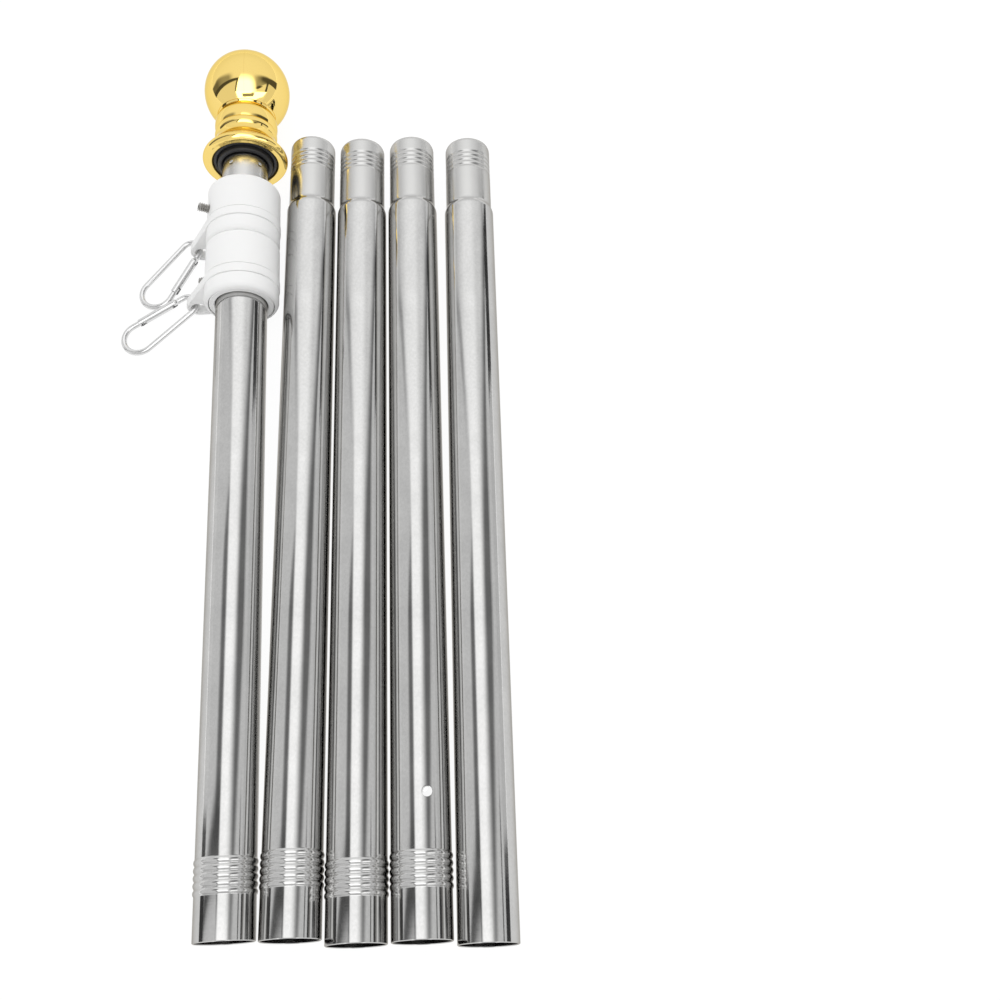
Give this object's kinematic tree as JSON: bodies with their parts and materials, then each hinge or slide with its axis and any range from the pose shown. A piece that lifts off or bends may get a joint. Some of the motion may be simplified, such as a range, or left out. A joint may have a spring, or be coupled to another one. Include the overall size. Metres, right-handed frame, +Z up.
{
  "type": "flagpole",
  "caption": "Sectional tube flagpole kit laid side by side, with ball finial and two swivel rings carrying snap clips.",
  "frame": {"origin": "centre of the kit's footprint, on the surface the sections lie on", "axes": "+Y along the sections from their feet towards the finial, +Z up, +X across the row from the top section to the base section"},
  "size_m": [0.1922, 0.4622, 0.0458],
  "materials": {
    "stainless_tube": "brushed",
    "gold_plate": "gold plated, mirror polished",
    "black_rubber": "satin",
    "white_plastic": "satin",
    "screw_steel": "satin",
    "clip_metal": "polished"
  },
  "bodies": {
    "pole_row": {"top_section": "stainless_tube", "section_two": "stainless_tube", "section_three": "stainless_tube", "section_four": "stainless_tube", "base_section": "stainless_tube", "finial_ball": "gold_plate", "finial_base": "gold_plate", "finial_grommet": "black_rubber", "upper_collar": "white_plastic", "upper_cap": "white_plastic", "upper_set_screw": "screw_steel"},
    "lower_collar_body": {"lower_collar": "white_plastic", "lower_cap": "white_plastic", "lower_set_screw": "screw_steel"},
    "upper_ring_body": {"upper_swivel_ring": "white_plastic"},
    "lower_ring_body": {"lower_swivel_ring": "white_plastic"},
    "upper_clip_body": {"upper_clip_frame": "clip_metal"},
    "lower_clip_body": {"lower_clip_frame": "clip_metal"},
    "upper_gate_body": {"upper_clip_gate": "clip_metal", "upper_clip_rivet": "clip_metal"},
    "lower_gate_body": {"lower_clip_gate": "clip_metal", "lower_clip_rivet": "clip_metal"}
  },
  "joints": [
    {"name": "lower_collar_slide", "type": "slide", "parent": "pole_row", "child": "lower_collar_body", "axis": [-0.0199, 0.9995, 0.024], "range_m": [-0.055, 0]},
    {"name": "upper_ring_turn", "type": "hinge", "parent": "pole_row", "child": "upper_ring_body", "pos_m": [-0.03257, 0.11839, 0.02098], "axis": [-0.0199, 0.9995, 0.024], "range_deg": [0, 150]},
    {"name": "lower_ring_turn", "type": "hinge", "parent": "lower_collar_body", "child": "lower_ring_body", "pos_m": [-0.03189, 0.08431, 0.02016], "axis": [-0.0199, 0.9995, 0.024], "range_deg": [0, 150]},
    {"name": "upper_clip_swing", "type": "hinge", "parent": "upper_ring_body", "child": "upper_clip_body", "pos_m": [-0.05794, 0.11824, 0.00651], "axis": [-0.0199, 0.9995, 0.024], "range_deg": [0, 50]},
    {"name": "lower_clip_swing", "type": "hinge", "parent": "lower_ring_body", "child": "lower_clip_body", "pos_m": [-0.05774, 0.08412, 0.00651], "axis": [-0.0199, 0.9995, 0.024], "range_deg": [0, 50]},
    {"name": "upper_gate_open", "type": "hinge", "parent": "upper_clip_body", "child": "upper_gate_body", "pos_m": [-0.06095, 0.11126, 0.0059], "axis": [0.1393, 0.0266, -0.9899], "range_deg": [0, 25], "stiffness_Nm_per_rad": 0.02, "springref_deg": -17.19},
    {"name": "lower_gate_open", "type": "hinge", "parent": "lower_clip_body", "child": "lower_gate_body", "pos_m": [-0.06975, 0.08617, 0.00514], "axis": [-0.1178, -0.0262, 0.9927], "range_deg": [0, 25], "stiffness_Nm_per_rad": 0.02, "springref_deg": -17.19}
  ]
}
